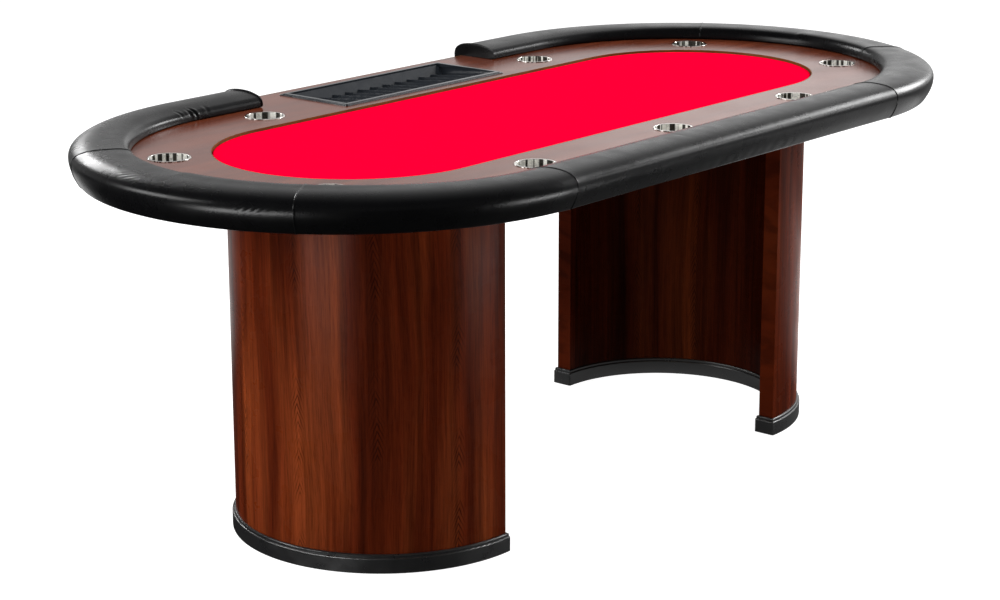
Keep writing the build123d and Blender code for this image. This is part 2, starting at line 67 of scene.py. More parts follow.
# ---------------------------------------------------------------- sizes read from the frame
END_RADIUS = cad_box[1].y
ARC_X = cad_box[1].x - END_RADIUS
RACETRACK_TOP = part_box("racetrack")[1].z
RAIL_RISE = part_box("rail_panel_front")[1].z - RACETRACK_TOP
RAIL_DROP = RACETRACK_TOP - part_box("rail_panel_front")[0].z
RAIL_INNER = END_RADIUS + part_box("rail_panel_front")[1].y
GAP_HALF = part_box("rail_panel_back_right")[0].x
SEAM_ANGLE = math.asin(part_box("rail_panel_right_end")[1].y / END_RADIUS)
CORE_OUTER = END_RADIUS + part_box("rail_core")[0].y
CORE_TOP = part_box("rail_core")[1].z - RACETRACK_TOP
CORE_INNER = 106 * MM
FIELD_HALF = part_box("playing_cloth")[1].y
FIELD_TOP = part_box("playing_cloth")[1].z
FIELD_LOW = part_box("playing_cloth")[0].z
DECK_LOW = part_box("base_deck")[0].z


# ---------------------------------------------------------------- camera
def make_camera():
    """The camera stands low, off the table's left front end."""
    azimuth, elevation = math.radians(-50.34), math.radians(15.11)
    level = math.cos(elevation)
    back = Vector((math.sin(azimuth) * level, -math.cos(azimuth) * level, math.sin(elevation)))
    data = bpy.data.cameras.new("camera")
    data.sensor_width = 36
    data.lens = 89.07
    data.shift_x = -0.0168
    data.shift_y = -0.0157
    camera = bpy.data.objects.new("camera", data)
    camera.location = (-3.8514, -3.1447, 1.7258)
    camera.rotation_euler = (-back).to_track_quat("-Z", "Y").to_euler()
    bpy.context.scene.collection.objects.link(camera)
    bpy.context.scene.camera = camera


# ---------------------------------------------------------------- material helpers
class Graph:
    """Builds shader nodes in a node tree. A colour is linear RGB, and a ramp's stop is at 0 to 1."""

    def __init__(self, tree):
        self.tree = tree

    def set(self, node, inputs):
        """Gives each named or numbered input a value, or links it to an output."""
        for key, value in inputs.items():
            socket = node.inputs[key.replace("_", " ") if isinstance(key, str) else key]
            if isinstance(value, bpy.types.NodeSocket):
                self.tree.links.new(value, socket)
            elif hasattr(value, "__len__") and len(value) == 3 and socket.type == "RGBA":
                socket.default_value = (*value, 1)
            else:
                socket.default_value = value

    def add(self, kind, output=0, **inputs):
        """Adds a node and returns one of its outputs."""
        node = self.tree.nodes.new("ShaderNode" + kind)
        self.set(node, inputs)
        return node.outputs[output]

    def math(self, operation, a, b=0.0, c=0.0):
        node = self.tree.nodes.new("ShaderNodeMath")
        node.operation = operation
        self.set(node, {0: a, 1: b, 2: c})
        return node.outputs[0]

    def times(self, a, b):
        return self.math("MULTIPLY", a, b)

    def place(self, kind="Object"):
        return self.add("TexCoord", kind)

    def split(self, vector):
        """The x, y and z of a vector."""
        node = self.tree.nodes.new("ShaderNodeSeparateXYZ")
        self.set(node, {"Vector": vector})
        return node.outputs

    def upright(self):
        """1 where the surface stands on edge, 0 where it lies flat."""
        facing = self.split(self.add("NewGeometry", "Normal"))
        return self.math("LESS_THAN", self.math("ABSOLUTE", facing[2]), 0.5)

    def stretched(self, vector, scale):
        return self.add("Mapping", Vector=vector, Scale=scale)

    def noise(self, vector, scale, detail=2.0, roughness=0.5, distortion=0.0):
        inputs = {"Vector": vector, "Scale": scale, "Detail": detail}
        return self.add("TexNoise", "Fac", Roughness=roughness, Distortion=distortion, **inputs)

    def ramp(self, fac, *stops):
        """A colour ramp; a stop is (position, colour) or (position, grey)."""
        node = self.tree.nodes.new("ShaderNodeValToRGB")
        elements = node.color_ramp.elements
        while len(elements) < len(stops):
            elements.new(0.5)
        for element, (position, colour) in zip(elements, stops):
            element.position = position
            rgb = colour if hasattr(colour, "__len__") else (colour,) * 3
            element.color = (*rgb, 1)
        self.set(node, {"Fac": fac})
        return node.outputs["Color"]

    def mix(self, fac, a, b, blend="MIX"):
        node = self.tree.nodes.new("ShaderNodeMix")
        node.data_type = "RGBA"
        node.blend_type = blend
        self.set(node, {0: fac, 6: a, 7: b})
        return node.outputs[2]

    def shade(self, colour, by, amount=1.0):
        """Darkens a colour by another one."""
        return self.mix(amount, colour, by, "MULTIPLY")

    def bump(self, height, strength, distance, normal=None):
        inputs = {"Height": height, "Strength": strength, "Distance": distance}
        if normal:
            inputs["Normal"] = normal
        return self.add("Bump", "Normal", **inputs)


class Shader(Graph):
    """A Principled material and the node graph behind it."""

    def __init__(self, name, **inputs):
        self.material = bpy.data.materials.new(name)
        self.material.use_nodes = True
        super().__init__(self.material.node_tree)
        self.surface = self.tree.nodes["Principled BSDF"]
        self.set(self.surface, inputs)

    def finish(self, **inputs):
        self.set(self.surface, inputs)
        return self.material


# ---------------------------------------------------------------- materials
def vinyl():
    """Glossy black upholstery vinyl: pebbled grain, faint stretch marks, uneven polish."""
    s = Shader("black_vinyl", Base_Color=(0.0030, 0.0030, 0.0034), IOR=1.5, Specular_IOR_Level=0.15)
    at = s.place()
    cells = s.add("TexVoronoi", "Distance", Vector=at, Scale=640.0)
    marks = s.noise(s.stretched(at, (1.0, 1.0, 1.6)), 48.0, 4.0, 0.6, 0.6)
    grain = s.bump(cells, 0.10, 0.25 * MM)
    creased = s.bump(marks, 0.16, 0.9 * MM, grain)
    rough = s.ramp(s.noise(at, 22.0, 3.0), (0.3, 0.24), (0.75, 0.34))
    return s.finish(Roughness=rough, Normal=creased)


# the veneer's figure repeats round a pedestal, in leaves as wide as FLITCH; both values are in radians
FLITCH = 0.52
FLITCH_START = 0.164


def v_marks(s, turn, height, flat, sway):
    """1 on the small V-shaped marks in a broken chain down the middle of each leaf of veneer."""
    leaf = s.math("FLOORED_MODULO", s.math("ADD", turn, FLITCH_START + FLITCH / 2), FLITCH)
    wander = s.noise(s.stretched(flat, (0.0, 14.0, 1.0)), 1.0, 2.0)
    shift = s.times(s.math("SUBTRACT", wander, 0.5), 0.05)
    off = s.math("ABSOLUTE", s.math("ADD", s.math("SUBTRACT", leaf, FLITCH / 2), shift))
    phase = s.math("ADD", s.times(height, 400.0), s.times(off, 300.0))
    waves = s.math("SINE", s.math("ADD", phase, s.times(sway, 44.0)))
    chain = s.ramp(off, (0.012, 1.0), (0.055, 0.0))
    broken = s.ramp(s.noise(s.stretched(flat, (9.0, 12.0, 1.0)), 1.0, 4.0), (0.42, 0.0), (0.56, 1.0))
    return s.shade(s.shade(chain, broken), s.ramp(waves, (0.1, 0.0), (0.75, 1.0)))


def veneer(name, centre_x, radius, depth=1.0):
    """Mahogany veneer with an upright grain, wrapped round a pedestal's axis: soft dark and orange bands,
    fine fibres, short pores, and chains of V-shaped marks. A lower depth darkens it all as painted shade."""
    s = Shader(name, IOR=1.5, Specular_IOR_Level=0.02)
    x, y, height = s.split(s.place())
    turn = s.math("ARCTAN2", y, s.math("ABSOLUTE", s.math("SUBTRACT", x, centre_x)))
    around = s.times(turn, radius)
    flat = s.add("CombineXYZ", X=around, Y=height, Z=centre_x)
    sway = s.noise(s.stretched(flat, (4.0, 1.1, 1.0)), 1.0, 3.0, 0.5)
    drawn = s.math("ADD", around, s.times(sway, 0.05))
    grain = s.add("CombineXYZ", X=drawn, Y=height, Z=centre_x)
    boards = s.noise(s.stretched(grain, (12.0, 0.8, 1.0)), 1.0, 2.0, 0.5)
    streaks = s.noise(s.stretched(grain, (60.0, 1.3, 1.0)), 1.0, 4.0, 0.6)
    fibres = s.noise(s.stretched(grain, (260.0, 6.0, 1.0)), 1.0, 4.0, 0.6)
    pores = s.noise(s.stretched(grain, (1100.0, 30.0, 1.0)), 1.0, 2.0, 0.5)
    dark, middle, light = (0.052, 0.0070, 0.0018), (0.105, 0.0150, 0.0036), (0.195, 0.0370, 0.0090)
    tones = ((0.34, dark), (0.50, middle), (0.66, light))
    # a depth below 1 scales every tone down: painted shade for the inner skins
    colour = s.ramp(boards, *((at, [part * depth for part in rgb]) for at, rgb in tones))
    colour = s.shade(colour, s.ramp(streaks, (0.34, 0.45), (0.64, 1.35)), 0.75)
    colour = s.shade(colour, s.ramp(fibres, (0.36, 0.55), (0.6, 1.15)), 0.45)
    colour = s.shade(colour, s.ramp(pores, (0.34, 0.35), (0.5, 1.0)), 0.5)
    marked = s.times(v_marks(s, turn, height, flat, sway), 0.7)
    colour = s.mix(marked, colour, (0.010, 0.0022, 0.0010))
    rough = s.ramp(s.noise(flat, 14.0, 3.0), (0.3, 0.24), (0.7, 0.33))
    return s.finish(Base_Color=colour, Roughness=rough, Normal=s.bump(pores, 0.05, 0.15 * MM))


def laminate():
    """Dark mahogany laminate with a polished top, the grain along the table."""
    s = Shader("mahogany_laminate", IOR=1.5, Specular_IOR_Level=0.30)
    at = s.place()
    streaks = s.noise(s.stretched(at, (0.9, 26.0, 26.0)), 1.0, 5.0, 0.6, 0.3)
    pores = s.noise(s.stretched(at, (25.0, 900.0, 900.0)), 1.0, 2.0)
    dark, middle, light = (0.100, 0.022, 0.010), (0.160, 0.036, 0.015), (0.205, 0.050, 0.021)
    base = s.ramp(streaks, (0.3, dark), (0.55, middle), (0.75, light))
    colour = s.shade(base, s.ramp(pores, (0.34, 0.45), (0.5, 1.0)), 0.4)
    rough = s.ramp(s.noise(at, 9.0, 3.0), (0.3, 0.17), (0.7, 0.23))
    return s.finish(Base_Color=colour, Roughness=rough, Normal=s.bump(pores, 0.04, 0.1 * MM))


def edge_band():
    """Golden-brown edge band with a fine grain along the edge."""
    s = Shader("edge_band", Roughness=0.45, Specular_IOR_Level=0.25)
    streaks = s.noise(s.stretched(s.place(), (8.0, 8.0, 160.0)), 3.0, 4.0)
    colour = s.ramp(streaks, (0.3, (0.080, 0.032, 0.004)), (0.7, (0.165, 0.078, 0.010)))
    return s.finish(Base_Color=colour)


def plywood():
    """Bare birch plywood: pale faces, and plies that show as stripes on an edge."""
    s = Shader("birch_plywood", Roughness=0.62)
    at = s.place()
    two_plies = 3 * MM
    plies = s.math("SINE", s.times(s.split(at)[2], 2 * math.pi / two_plies))
    grain = s.noise(s.stretched(at, (3.0, 60.0, 60.0)), 1.0, 4.0, 0.6, 0.5)
    face = s.ramp(grain, (0.3, (0.42, 0.27, 0.14)), (0.7, (0.66, 0.49, 0.30)))
    stripe = s.ramp(plies, (0.35, (0.30, 0.17, 0.08)), (0.55, (0.62, 0.45, 0.26)))
    return s.finish(Base_Color=s.mix(s.upright(), face, stripe))


def pine():
    """Planed pine with growth lines along the batten."""
    s = Shader("pine", Roughness=0.6)
    grain = s.noise(s.stretched(s.place(), (4.0, 70.0, 70.0)), 1.0, 5.0, 0.6, 0.7)
    colour = s.ramp(grain, (0.3, (0.45, 0.27, 0.11)), (0.7, (0.72, 0.52, 0.28)))
    return s.finish(Base_Color=colour, Normal=s.bump(grain, 0.1, 0.3 * MM))


def felt():
    """Matt red felt: matted fibres and a soft nap."""
    s = Shader("red_felt", Roughness=1.0, Specular_IOR_Level=0.0)
    at = s.place()
    fibres = s.noise(at, 900.0, 3.0, 0.7, 1.2)
    nap = s.noise(at, 40.0, 3.0)
    base = s.ramp(fibres, (0.3, (0.90, 0.0, 0.026)), (0.7, (1.0, 0.0, 0.033)))
    colour = s.shade(base, s.ramp(nap, (0.35, 0.85), (0.65, 1.0)), 0.2)
    return s.finish(Base_Color=colour, Normal=s.bump(fibres, 0.25, 0.3 * MM))


def foam():
    """White closed-cell foam."""
    s = Shader("white_foam", Roughness=0.9)
    bubbles = s.add("TexVoronoi", "Distance", Vector=s.place(), Scale=900.0)
    return s.finish(Base_Color=s.ramp(bubbles, (0.0, (0.62, 0.6, 0.54)), (0.6, (0.85, 0.83, 0.78))))


def steel():
    """Polished stainless steel: a bright flange, and painted reflections down the drawn walls: upright bands
    of light and dark set in the base colour.
    """
    s = Shader("polished_steel")
    at = s.place()
    upright = s.upright()
    # the walls' upright light and dark bands are painted reflections in the base colour; the walls are made
    # less metallic so that the painted bands show
    bands = s.noise(s.stretched(at, (1.0, 1.0, 0.02)), 150.0, 1.0, 0.4)
    wall = s.ramp(bands, (0.46, (0.03, 0.026, 0.02)), (0.52, (1.0, 0.98, 0.92)))
    smears = s.noise(at, 120.0, 3.0)
    plain = s.ramp(smears, (0.3, (0.80, 0.78, 0.74)), (0.7, (0.86, 0.84, 0.80)))
    rough = s.math("ADD", s.times(upright, 0.22), s.ramp(smears, (0.35, 0.04), (0.7, 0.09)))
    metal = s.math("SUBTRACT", 1.0, s.times(upright, 0.65))
    return s.finish(Base_Color=s.mix(upright, plain, wall), Roughness=rough, Metallic=metal)


def tray_plastic():
    """Gloss black moulded plastic with a fine pebble."""
    s = Shader("tray_plastic", Base_Color=(0.017, 0.020, 0.025), IOR=1.5, Specular_IOR_Level=0.6)
    at = s.place()
    texture = s.noise(at, 700.0, 2.0)
    rough = s.ramp(s.noise(at, 60.0, 2.0), (0.3, 0.12), (0.7, 0.2))
    return s.finish(Roughness=rough, Normal=s.bump(texture, 0.05, 0.2 * MM))


def lacquer():
    """Satin black lacquer with a little orange peel."""
    s = Shader("black_lacquer", Base_Color=(0.012, 0.012, 0.0125), IOR=1.5, Specular_IOR_Level=0.7)
    at = s.place()
    orange_peel = s.noise(at, 260.0, 2.0)
    rough = s.ramp(s.noise(at, 30.0, 3.0), (0.3, 0.26), (0.7, 0.36))
    return s.finish(Roughness=rough, Normal=s.bump(orange_peel, 0.08, 0.4 * MM))


def zinc():
    """Zinc plate with a fine spangle."""
    s = Shader("zinc_steel", Metallic=1.0)
    spangle = s.noise(s.place(), 500.0, 3.0)
    colour = s.ramp(spangle, (0.3, (0.42, 0.42, 0.44)), (0.7, (0.62, 0.62, 0.63)))
    return s.finish(Base_Color=colour, Roughness=s.ramp(spangle, (0.3, 0.25), (0.7, 0.4)))


def nylon():
    """Dark moulded nylon."""
    s = Shader("glide_plastic", Roughness=0.55)
    mottle = s.noise(s.place(), 300.0, 2.0)
    return s.finish(Base_Color=s.ramp(mottle, (0.3, 0.02), (0.7, 0.04)))


# ---------------------------------------------------------------- mesh helpers
def ring_faces(size, count):
    """Quads between neighbouring rings of vertices, each of them closed and size vertices long."""
    faces = []
    for r in range(count - 1):
        for i in range(size):
            j = (i + 1) % size
            faces.append((r * size + i, r * size + j, (r + 1) * size + j, (r + 1) * size + i))
    return faces


def make_object(name, vertices, faces, body, finish):
    """A smooth mesh object that rides on a body."""
    mesh = bpy.data.meshes.new(name)
    mesh.from_pydata(vertices, [], faces)
    mesh.validate()
    shape = bmesh.new()
    shape.from_mesh(mesh)
    bmesh.ops.recalc_face_normals(shape, faces=shape.faces)
    shape.to_mesh(mesh)
    shape.free()
    made = bpy.data.objects.new(name, mesh)
    bpy.context.scene.collection.objects.link(made)
    mesh.materials.append(finish)
    mesh.polygons.foreach_set("use_smooth", [True] * len(mesh.polygons))
    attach(made, body)
    return made


def bezier(points, steps):
    """Points along a chain of cubic curves: points holds end, handle, handle, end, handle, ..."""
    made = [Vector(points[0])]
    for i, count in enumerate(steps):
        a, b, c, d = (Vector(p) for p in points[3 * i : 3 * i + 4])
        for k in range(1, count + 1):
            t = k / count
            u = 1 - t
            made.append(u**3 * a + 3 * u * u * t * b + 3 * u * t * t * c + t**3 * d)
    return made


def outline(inset, spacing=0.012):
    """The table's oval, moved in by inset, anticlockwise from the right end, as (x, y) pairs."""
    r = END_RADIUS - inset
    straight = round(2 * ARC_X / spacing)
    half_turn = 2 * round(math.pi * END_RADIUS / spacing / 2)
    made = []
    for side, start in ((1, -math.pi / 2), (-1, math.pi / 2)):
        for k in range(half_turn + 1):
            a = start + math.pi * k / half_turn
            made.append((side * ARC_X + r * math.cos(a), r * math.sin(a)))
        for k in range(1, straight):
            made.append((side * (ARC_X - 2 * ARC_X * k / straight), side * r))
    return made


def keep_evaluated(made):
    """Turns what the modifiers make of an object into its own mesh."""
    graph = bpy.context.evaluated_depsgraph_get()
    mesh = bpy.data.meshes.new_from_object(made.evaluated_get(graph))
    made.modifiers.clear()
    made.data = mesh


# ---------------------------------------------------------------- armrest rail
HEM = 45 * MM  # the vinyl is turned under the deck as far as this inset
GAP = 0.3 * MM  # between the vinyl and what it lies on
LEDGE_DROP = 7.5 * MM  # the inner edge lies this far below the crown near the middle of the table
LEDGE_RISE = 6.0 * MM  # how much of that it gains at the ends
BACK_RISE = 0.7  # the share of the rise on the dealer's side
FULL_FROM, FULL_OVER = 0.6, 0.4  # the rise starts at this x, and is complete this much further out
CAP_PUFF = 1.4 * MM  # how far a padded end swells
PADDED_CAP = ((0.96, 0.4), (0.85, 0.8), (0.6, 1.0))  # rings that close an end: (scale, share of the swelling)
SEWN_CAP = ((0.975, 0.0),)
NEAR_END = 8 * MM  # the underside lies flat over the end pads for this far
RELAX_CAP = 0.9 * MM


def rail_section(full):
    """(inset, height above the racetrack) points of the vinyl, from its inner foot to its hem under the deck.
    The inner edge stands higher where full is 1 than where it is 0."""
    wall = RAIL_INNER
    top = RAIL_RISE
    low = -RAIL_DROP
    ledge = top - LEDGE_DROP + LEDGE_RISE * full
    return bezier(
        [
            (wall, GAP),
            (wall + 0.8 * MM, 3 * MM),
            (wall + 0.6 * MM, 6 * MM),
            (wall, 9 * MM),
            (wall - 0.6 * MM, top - 13 * MM),
            (wall - 3 * MM, ledge - 4 * MM),
            (wall - 9 * MM, ledge),
            (wall - 22 * MM, ledge + 4 * MM),
            (80 * MM, top),
            (58 * MM, top),
            (36 * MM, top),
            (16 * MM, top - 3 * MM),
            (7 * MM, top - 11 * MM),
            (2.5 * MM, top - 15 * MM),
            (0, 9 * MM),
            (0, 1 * MM),
            (0, -8 * MM),
            (3 * MM, -16 * MM),
            (6 * MM, -22 * MM),
            (9 * MM, -28 * MM),
            (12 * MM, low + 8 * MM),
            (14 * MM, low + 4.5 * MM),
            (15.5 * MM, low + 1.5 * MM),
            (17 * MM, low),
            (20.5 * MM, low),
            (28 * MM, low),
            (36 * MM, low),
            (HEM, low),
        ],
        (2, 4, 8, 7, 4, 4, 2, 3, 3),
    )


def rail_underside(at_gap):
    """Corners from the hem back to the inner foot, along the deck and the core; flat over the end pads."""
    turn = DECK_LOW - RACETRACK_TOP - GAP
    corners = [(HEM, turn), (CORE_OUTER - GAP, turn)]
    over_core = CORE_TOP + GAP if not at_gap else GAP
    corners += [(CORE_OUTER - GAP, over_core), (CORE_INNER + GAP, over_core), (CORE_INNER + GAP, GAP)]
    return [Vector(c) for c in corners]


class Path:
    """A stretch of the rail's outline: straight runs and arcs, measured along the outermost line."""

    def __init__(self, *parts):
        self.parts = parts
        self.lengths = [abs(p[2] - p[1]) * (END_RADIUS if p[0] == "arc" else 1.0) for p in parts]
        self.length = sum(self.lengths)

    def at(self, s):
        """(point on the arc's axis or the straight's middle line, outward direction) at a distance s."""
        for (kind, start, stop, side), length in zip(self.parts, self.lengths):
            if s <= length + 1e-9:
                value = start + (stop - start) * s / length
                if kind == "arc":
                    return Vector((side * ARC_X, 0, 0)), Vector((side * math.cos(value), math.sin(value), 0))
                return Vector((value, 0, 0)), Vector((0, side, 0))
            s -= length
        raise ValueError("past the end of the path")


def rail_paths():
    """Each panel's path, anticlockwise, with True where the path starts or stops at the dealer's gap."""
    seam, quarter = SEAM_ANGLE, math.pi / 2
    back_right = Path(("arc", seam, quarter, 1), ("run", ARC_X, GAP_HALF, 1))
    back_left = Path(("run", -GAP_HALF, -ARC_X, 1), ("arc", quarter, seam, -1))
    return {
        "rail_panel_back_right": (back_right, False, True),
        "rail_panel_right_end": (Path(("arc", -seam, seam, 1)), False, False),
        "rail_panel_front_right": (Path(("arc", -quarter, -seam, 1)), False, False),
        "rail_panel_front": (Path(("run", -ARC_X, ARC_X, -1)), False, False),
        "rail_panel_front_left": (Path(("arc", -seam, -quarter, -1)), False, False),
        "rail_panel_left_end": (Path(("arc", seam, -seam, -1)), False, False),
        "rail_panel_back_left": (back_left, True, False),
    }


def stations(length):
    """Distances along a panel: fine beside its two ends, and about 9 mm apart between them."""
    near = [d * MM for d in (0, 0.5, 1.1, 1.9, 3.0, 4.6, 7.0, 10.5, 15.5, 22)]
    middle = length - 2 * near[-1]
    count = round(middle / 0.009)
    inner = [near[-1] + middle * k / count for k in range(1, count)]
    return near + inner + [length - d for d in reversed(near)]


def end_pull(distance, at_gap):
    """How far the vinyl lies below its free surface near a seam or a padded end."""
    if at_gap:
        rounding = 3.5 * MM
        if distance >= rounding:
            return 0.0
        return rounding - math.sqrt(rounding**2 - (rounding - distance) ** 2)
    return 1.0 * MM * math.exp(-((distance / (1.1 * MM)) ** 2)) + 0.5 * MM * math.exp(-distance / (9 * MM))


def fullness(place):
    """How high the inner edge stands at a place on the outline, from 0 to 1."""
    t = max(0.0, min(1.0, (abs(place.x) - FULL_FROM) / FULL_OVER))
    return t * t * (3 - 2 * t) * (1.0 if place.y < 0 else BACK_RISE)


def panel_ring(full, pull, at_gap):
    """(point, distance from the inner foot, whether it is free to move) round the panel's section."""
    section = rail_section(full)
    last = len(section) - 1
    ring = []
    across = 0.0
    for i, point in enumerate(section):
        if i:
            across += (point - section[i - 1]).length
        along = section[min(i + 1, last)] - section[max(i - 1, 0)]
        normal = Vector((along.y, -along.x)).normalized()
        held = i == 0 or i >= last - 3
        ring.append((point if held else point + normal * pull, across, not held))
    return ring + [(corner, -1.0, False) for corner in rail_underside(at_gap)]


def panel_cage(path, gap_start, gap_stop):
    """Vertices, faces, (along, across) of each vertex, and whether it is free to move, for one panel."""
    vertices, places, free = [], [], []
    rows = stations(path.length)
    for row, s in enumerate(rows):
        middle, out = path.at(s)
        pull = end_pull(s, gap_start) + end_pull(path.length - s, gap_stop)
        at_gap = (gap_start and s < NEAR_END) or (gap_stop and path.length - s < NEAR_END)
        ring = panel_ring(fullness(middle + out * END_RADIUS), pull, at_gap)
        for (inset, height), across, loose in ring:
            vertices.append(middle + out * (END_RADIUS - inset) + Vector((0, 0, RACETRACK_TOP + height)))
            places.append((s, across))
            free.append(loose and 0 < row < len(rows) - 1)
    size = len(ring)
    faces = ring_faces(size, len(rows))
    backwards = (path.at(0)[0] - path.at(0.01)[0]).normalized()
    ends = ((0, gap_start, backwards), ((len(rows) - 1) * size, gap_stop, Vector((-1, 0, 0))))
    for first, padded, beyond in ends:
        loop = [first + i for i in range(size)]
        centre = sum((vertices[i] for i in loop), Vector()) / size
        for scale, puff in PADDED_CAP if padded else SEWN_CAP:
            ringed = [len(vertices) + k for k in range(size)]
            for k in range(size):
                vertices.append(centre + (vertices[first + k] - centre) * scale + beyond * CAP_PUFF * puff)
                places.append((0.0, -1.0))
                free.append(False)
                m = (k + 1) % size
                faces.append((loop[k], loop[m], ringed[m], ringed[k]))
            loop = ringed
        faces.append(tuple(loop))
    return vertices, faces, places, free


def relax(made, free):
    """Lets the vinyl settle between its held edges by a short cloth simulation, by RELAX_CAP at most."""
    loose_pin, last_frame = 0.25, 20
    before = [v.co.copy() for v in made.data.vertices]
    group = made.vertex_groups.new(name="held")
    for i, loose in enumerate(free):
        group.add([i], loose_pin if loose else 1.0, "REPLACE")
    cloth = made.modifiers.new("cloth", "CLOTH")
    settings = cloth.settings
    settings.quality = 5
    settings.mass = 0.3
    settings.vertex_group_mass = "held"
    settings.pin_stiffness = 1.0
    settings.tension_stiffness = settings.compression_stiffness = 15
    settings.bending_stiffness = 5.0
    settings.shrink_min = -0.001
    settings.use_pressure = True
    settings.uniform_pressure_force = 4
    settings.effector_weights.gravity = 0
    cloth.collision_settings.use_collision = False
    cloth.point_cache.frame_start, cloth.point_cache.frame_end = 1, last_frame
    scene = bpy.context.scene
    for frame_number in range(1, last_frame + 1):
        scene.frame_set(frame_number)
    keep_evaluated(made)
    for vertex, start in zip(made.data.vertices, before):
        moved = vertex.co - start
        if moved.length > RELAX_CAP:
            vertex.co = start + moved.normalized() * RELAX_CAP
    made.vertex_groups.clear()
    scene.frame_set(1)


# Creases in the vinyl: panel, then the two ends as (along the panel, across it from the inner foot) in mm,
# depth and width in mm. A negative depth is a ridge.
CREASES = [
    ("rail_panel_left_end", (196, 112), (222, 98), 0.50, 2.6),
    ("rail_panel_left_end", (206, 120), (238, 100), 0.40, 2.8),
    ("rail_panel_left_end", (222, 122), (252, 104), 0.45, 2.4),
    ("rail_panel_left_end", (246, 118), (270, 104), 0.30, 2.4),
    ("rail_panel_left_end", (488, 150), (512, 132), 0.30, 2.2),
    ("rail_panel_left_end", (500, 152), (526, 132), 0.38, 2.4),
    ("rail_panel_left_end", (512, 153), (538, 134), 0.34, 2.2),
    ("rail_panel_left_end", (526, 152), (550, 136), 0.36, 2.4),
    ("rail_panel_left_end", (541, 150), (560, 138), 0.25, 2.2),
    ("rail_panel_back_left", (184, 6), (190, 34), 2.4, 4.0),
    ("rail_panel_back_left", (206, 10), (200, 32), 1.0, 4.5),
    ("rail_panel_back_left", (232, 12), (238, 34), 0.8, 4.0),
    ("rail_panel_back_left", (150, 12), (146, 32), 0.7, 4.0),
    ("rail_panel_front", (372, 44), (376, 92), 0.30, 5.0),
]


def to_segment(point, a, b):
    """Distance from a point to a stretch of line, and how far along it the nearest place is, from 0 to 1."""
    line = b - a
    t = max(0.0, min(1.0, (point - a).dot(line) / line.length_squared))
    return (point - a - line * t).length, t


def press_creases(made, name):
    """Sinks the creases of a panel into its mesh, with a soft swelling beside each."""
    wanted = [
        (Vector(a) * MM, Vector(b) * MM, depth * MM, width * MM)
        for panel, a, b, depth, width in CREASES
        if panel == name
    ]
    places = [item.vector.copy() for item in made.data.attributes["place"].data]
    shifts = [0.0] * len(places)
    for a, b, depth, width in wanted:
        reach = 6 * width
        low, high = min(a.x, b.x) - reach, max(a.x, b.x) + reach
        for i, place in enumerate(places):
            if low < place.x < high and place.y > 0:
                distance, t = to_segment(place, a, b)
                across = distance / width
                fade = math.sin(math.pi * min(max(t, 0.06), 0.94))
                swelling = 0.45 * math.exp(-((across - 1.9) ** 2))
                shifts[i] += depth * fade * (swelling - math.exp(-(across**2)))
    for vertex, shift in zip(made.data.vertices, shifts):
        if shift:
            vertex.co += vertex.normal * shift


def rail_panel(name, path, gap_start, gap_stop, finish):
    """One upholstered panel, which stands for the plain one."""
    vertices, faces, places, free = panel_cage(path, gap_start, gap_stop)
    made = make_object(name + "_vinyl", vertices, faces, "table", finish)
    layer = made.data.attributes.new("place", "FLOAT2", "POINT")
    for item, place in zip(layer.data, places):
        item.vector = place
    relax(made, free)
    smooth = made.modifiers.new("smooth", "SUBSURF")
    creased = any(crease[0] == name for crease in CREASES)
    smooth.levels = smooth.render_levels = 2 if creased else 1
    keep_evaluated(made)
    press_creases(made, name)
    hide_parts(name)


# ---------------------------------------------------------------- playing field
def make_felt(finish):
    """Felt stretched over the foam and down the board's edge: a flat sheet with a soft rolled edge."""
    edge_inset = END_RADIUS - FIELD_HALF
    roll = 3.2 * MM
    profile = [(0.0, FIELD_LOW), (0.0, FIELD_TOP - roll)]
    arc_steps = 6
    for k in range(1, arc_steps + 1):
        a = math.pi / 2 * k / arc_steps
        profile.append((roll * (1 - math.cos(a)), FIELD_TOP - roll * (1 - math.sin(a))))
    profile += [(inset * MM, FIELD_TOP) for inset in (9, 25, 60, 110, 160, 210)]
    vertices = [(x, y, z) for inset, z in profile for x, y in outline(edge_inset + inset)]
    size = len(vertices) // len(profile)
    faces = ring_faces(size, len(profile))
    # the innermost ring is closed by strips from its front to its mirror image at the back
    first = (len(profile) - 1) * size
    half_turn = next(i for i in range(1, size) if abs(vertices[i][0] - ARC_X) < 1e-9)
    for i in range(half_turn // 2, half_turn // 2 + size // 2):
        strip = (i % size, (i + 1) % size, (half_turn - i - 1) % size, (half_turn - i) % size)
        faces.append(tuple(dict.fromkeys(first + corner for corner in strip)))
    felt_sheet = make_object("playing_felt", vertices, faces, "playing_field", finish)
    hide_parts("playing_cloth")


# ---------------------------------------------------------------- studio
def softbox(name, azimuth, elevation, distance, size, glow, mirrored=True, lighting=True):
    """A soft light that faces the middle of the top. azimuth, from +X, and elevation are in degrees. One that
    isn't mirrored shows in no reflection, and one that isn't lighting shows only in reflections."""
    target = Vector((0, 0, RACETRACK_TOP))
    a, e = math.radians(azimuth), math.radians(elevation)
    away = Vector((math.cos(a) * math.cos(e), math.sin(a) * math.cos(e), math.sin(e)))
    data = bpy.data.lights.new(name, "AREA")
    data.shape = "RECTANGLE"
    data.size, data.size_y = size
    data.energy = glow * math.pi * size[0] * size[1]
    light = bpy.data.objects.new(name, data)
    light.location = target + away * distance
    light.rotation_euler = away.to_track_quat("Z", "Y").to_euler()
    light.visible_camera = False
    light.visible_glossy = mirrored
    light.visible_diffuse = lighting
    bpy.context.scene.collection.objects.link(light)


def far_side(graph, along, across):
    """How far a place or direction lies beyond the table, seen from its left front end."""
    return graph.math("ADD", graph.times(along, 0.775), graph.times(across, 0.632))


